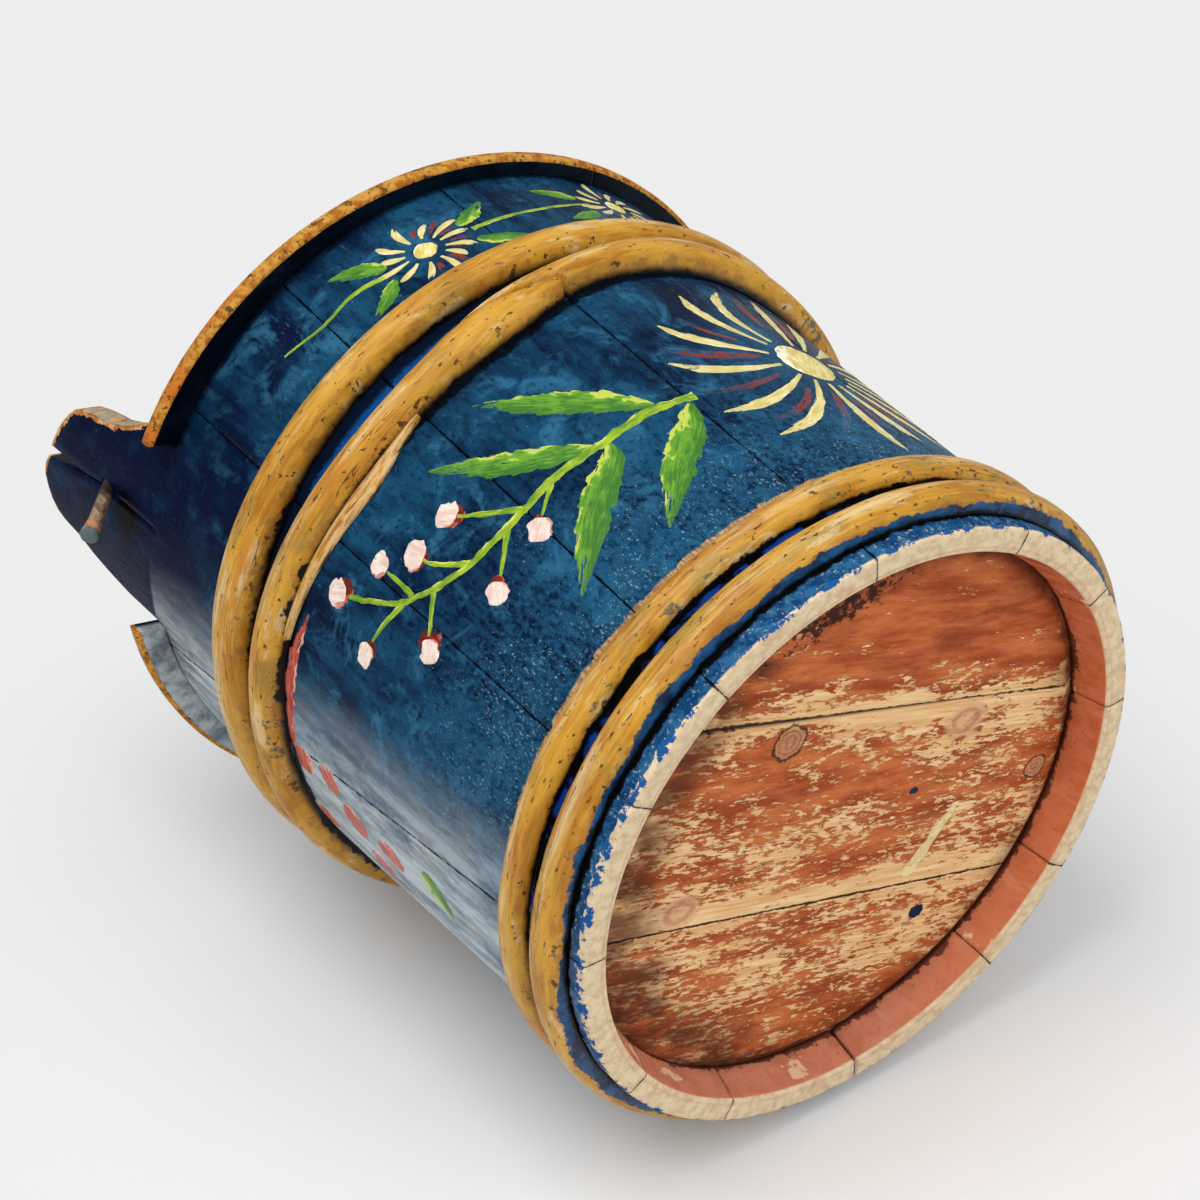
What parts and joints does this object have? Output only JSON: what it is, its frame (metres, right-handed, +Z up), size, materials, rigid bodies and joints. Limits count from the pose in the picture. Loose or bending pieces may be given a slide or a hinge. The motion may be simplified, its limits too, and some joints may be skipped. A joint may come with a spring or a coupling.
{
  "type": "stave-built lidded container",
  "caption": "Painted tub of tapered wooden staves bound by split-branch hoops, with a lift-off lid that drops between two tall ears and is locked by slanting pegs.",
  "frame": {"origin": "centre of the foot's end ring, on the plane that the container stands on", "axes": "+Z up the container's axis from the foot; -X towards the ear with the split; the second ear is at +X"},
  "size_m": [0.296, 0.2664, 0.33],
  "materials": {
    "blue_paint": "glossy dark blue paint, mottled and scratched",
    "ochre_paint": "satin ochre paint, worn at the edges",
    "red_paint": "red-ochre paint worn through to pale wood along the grain",
    "grey_wood": "weathered bare wood with traces of paint",
    "bare_wood": "bare wood"
  },
  "bodies": {
    "vessel": {"ear_stave_split": "blue_paint", "ear_stave_whole": "blue_paint", "stave_01": "blue_paint", "stave_02": "blue_paint", "stave_03": "blue_paint", "stave_04": "blue_paint", "stave_05": "blue_paint", "stave_06": "blue_paint", "stave_07": "blue_paint", "stave_08": "blue_paint", "stave_09": "blue_paint", "stave_10": "blue_paint", "head_board_1": "red_paint", "head_board_2": "red_paint", "head_board_3": "red_paint", "head_dowels": "bare_wood", "hoop_foot": "ochre_paint", "hoop_base": "ochre_paint", "hoop_middle": "ochre_paint", "hoop_upper": "ochre_paint"},
    "lid": {"lid_board_1": "blue_paint", "lid_board_2": "blue_paint", "lid_board_3": "blue_paint", "lid_crossbar": "ochre_paint", "lid_treenails": "bare_wood", "lid_dowels": "bare_wood"},
    "peg_split_ear": {"lock_peg_split_ear": "grey_wood"},
    "peg_whole_ear": {"lock_peg_whole_ear": "grey_wood"}
  },
  "joints": [
    {"name": "lid_lift", "type": "slide", "parent": "vessel", "child": "lid", "axis": [0, 0, 1], "range_m": [0, 0.0857]},
    {"name": "peg_split_ear_slide", "type": "slide", "parent": "vessel", "child": "peg_split_ear", "axis": [0.6161, -0.2611, 0.7431], "range_m": [0, 0.012]},
    {"name": "peg_whole_ear_slide", "type": "slide", "parent": "vessel", "child": "peg_whole_ear", "axis": [-0.6161, 0.2611, 0.7431], "range_m": [0, 0.012]}
  ]
}
